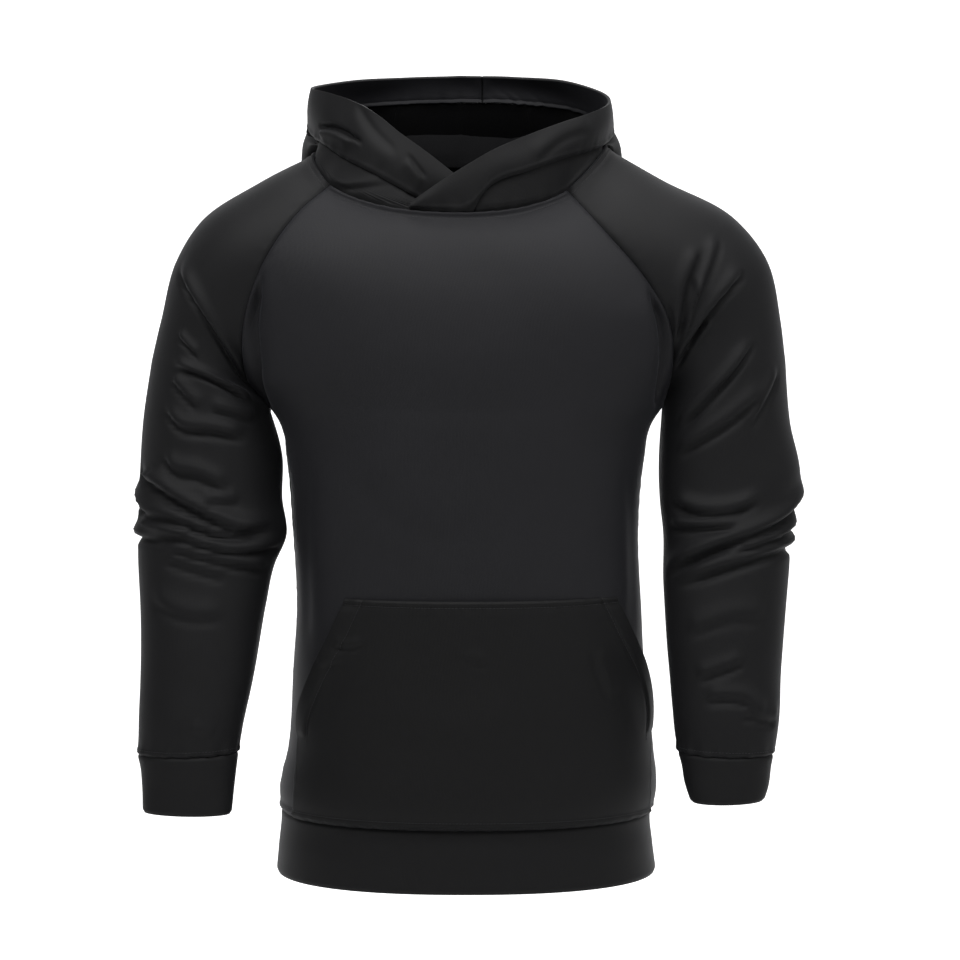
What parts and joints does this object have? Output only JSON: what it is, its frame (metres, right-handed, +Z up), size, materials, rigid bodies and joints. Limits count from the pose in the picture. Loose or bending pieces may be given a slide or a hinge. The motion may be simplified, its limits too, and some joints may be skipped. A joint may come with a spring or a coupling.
{
  "type": "pullover hoodie",
  "caption": "Long-sleeved pullover hoodie with raglan sleeves, a lowered crossover hood, a kangaroo pocket and plain cuffs and hem band, filled out as if worn.",
  "frame": {"origin": "between the wearer's shoulders at the height of the back of the neck, where the wearer holds the garment up", "axes": "+Z up, -Y to the garment's front, +X to the wearer's left"},
  "size_m": [0.6416, 0.3267, 0.7783],
  "materials": {
    "fleece": "black smooth-faced fleece knit, matt with a soft sheen",
    "fleece_band": "the same black fleece folded double, for the cuffs, hem band and hood band"
  },
  "bodies": {
    "root": {"front": "fleece", "back": "fleece", "sleeve_left": "fleece", "sleeve_right": "fleece", "pocket": "fleece", "hem_band": "fleece_band", "cuff_left": "fleece_band", "cuff_right": "fleece_band", "hood_side_left": "fleece", "hood_side_right": "fleece", "hood_centre": "fleece", "hood_band_left": "fleece_band", "hood_band_right": "fleece_band"}
  },
  "joints": []
}
